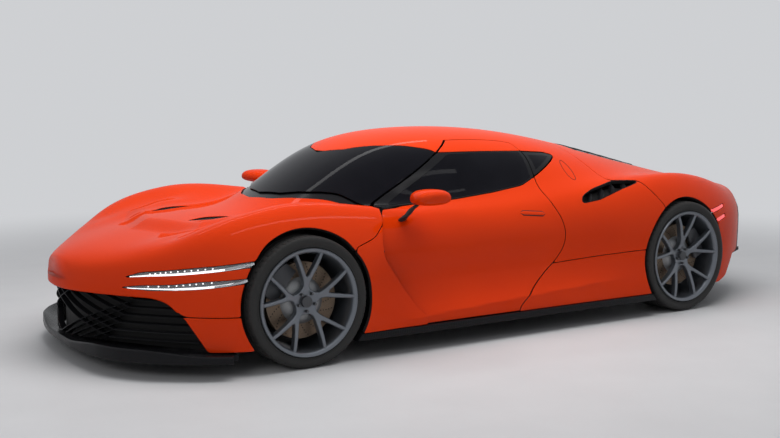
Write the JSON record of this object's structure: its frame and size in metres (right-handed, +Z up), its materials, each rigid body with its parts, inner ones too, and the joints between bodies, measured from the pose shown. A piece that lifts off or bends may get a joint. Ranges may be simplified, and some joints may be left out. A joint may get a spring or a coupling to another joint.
{
  "type": "concept sports car",
  "caption": "Low mid-engined two-seat coupe with wedge nose, lattice grille, slim lamps, side intakes, fork-spoked wheels, opening doors and steering front wheels.",
  "frame": {"origin": "on the ground under the middle of the car's bounding box", "axes": "+X forwards, +Y to the car's left, +Z up"},
  "size_m": [4.644, 2.207, 1.1655],
  "materials": {
    "paint": "gloss clear coat",
    "black_trim": "satin",
    "glazing": "dark tint",
    "lamp_clear": "clear lens",
    "lamp_red": "red lens",
    "carbon": "satin moulded fibre",
    "cabin_trim": "soft matt",
    "upholstery": "grained",
    "engine_alloy": "cast",
    "steel": "dull",
    "tyre": "matt rubber",
    "wheel_alloy": "gunmetal lacquer"
  },
  "bodies": {
    "car_body": {"front_clamshell": "paint", "bumper_corners": "paint", "fender_panels": "paint", "roof_and_quarters": "paint", "sill_panels": "paint", "rear_clamshell": "paint", "engine_cover": "black_trim", "tail_panel": "black_trim", "grille": "black_trim", "splitter": "black_trim", "side_skirts": "black_trim", "diffuser": "black_trim", "floor_pan": "black_trim", "windscreen": "glazing", "quarter_windows": "glazing", "vent_inserts": "black_trim", "headlamps": "lamp_clear", "tail_lamps": "lamp_red", "tub": "carbon", "front_frame": "steel", "rear_frame": "steel", "wheel_liners": "black_trim", "dashboard": "cabin_trim", "steering_wheel": "cabin_trim", "seats": "upholstery", "engine": "engine_alloy", "front_wishbones": "steel", "rear_wishbones": "steel", "rear_uprights": "steel"},
    "door_left": {"door_left": "paint", "door_glass_left": "glazing", "mirror_left": "paint"},
    "door_right": {"door_right": "paint", "door_glass_right": "glazing", "mirror_right": "paint"},
    "steer_left": {"front_upright_left": "steel"},
    "steer_right": {"front_upright_right": "steel"},
    "wheel_front_left": {"tyre_front_left": "tyre", "wheel_front_left": "wheel_alloy"},
    "wheel_front_right": {"tyre_front_right": "tyre", "wheel_front_right": "wheel_alloy"},
    "wheel_rear_left": {"tyre_rear_left": "tyre", "wheel_rear_left": "wheel_alloy"},
    "wheel_rear_right": {"tyre_rear_right": "tyre", "wheel_rear_right": "wheel_alloy"}
  },
  "joints": [
    {"name": "door_left_hinge", "type": "hinge", "parent": "car_body", "child": "door_left", "pos_m": [0.884, 0.929, 0.516], "axis": [0, 0, -1], "range_deg": [0, 65]},
    {"name": "door_right_hinge", "type": "hinge", "parent": "car_body", "child": "door_right", "pos_m": [0.884, -0.929, 0.516], "axis": [0, 0, 1], "range_deg": [0, 65]},
    {"name": "steer_left_kingpin", "type": "hinge", "parent": "car_body", "child": "steer_left", "pos_m": [1.33, 0.803, 0.33], "axis": [0, 0, 1], "range_deg": [-30, 30]},
    {"name": "steer_right_kingpin", "type": "hinge", "parent": "car_body", "child": "steer_right", "pos_m": [1.33, -0.803, 0.33], "axis": [0, 0, 1], "range_deg": [-30, 30]},
    {"name": "wheel_front_left_spin", "type": "hinge", "parent": "steer_left", "child": "wheel_front_left", "pos_m": [1.33, 0.8405, 0.33], "axis": [0, 1, 0], "continuous": true},
    {"name": "wheel_front_right_spin", "type": "hinge", "parent": "steer_right", "child": "wheel_front_right", "pos_m": [1.33, -0.8405, 0.33], "axis": [0, 1, 0], "continuous": true},
    {"name": "wheel_rear_left_spin", "type": "hinge", "parent": "car_body", "child": "wheel_rear_left", "pos_m": [-1.37, 0.8105, 0.348], "axis": [0, 1, 0], "continuous": true},
    {"name": "wheel_rear_right_spin", "type": "hinge", "parent": "car_body", "child": "wheel_rear_right", "pos_m": [-1.37, -0.8105, 0.348], "axis": [0, 1, 0], "continuous": true}
  ],
  "couplings": [
    {"joint": "steer_right_kingpin", "follows": "steer_left_kingpin", "ratio": 1}
  ]
}
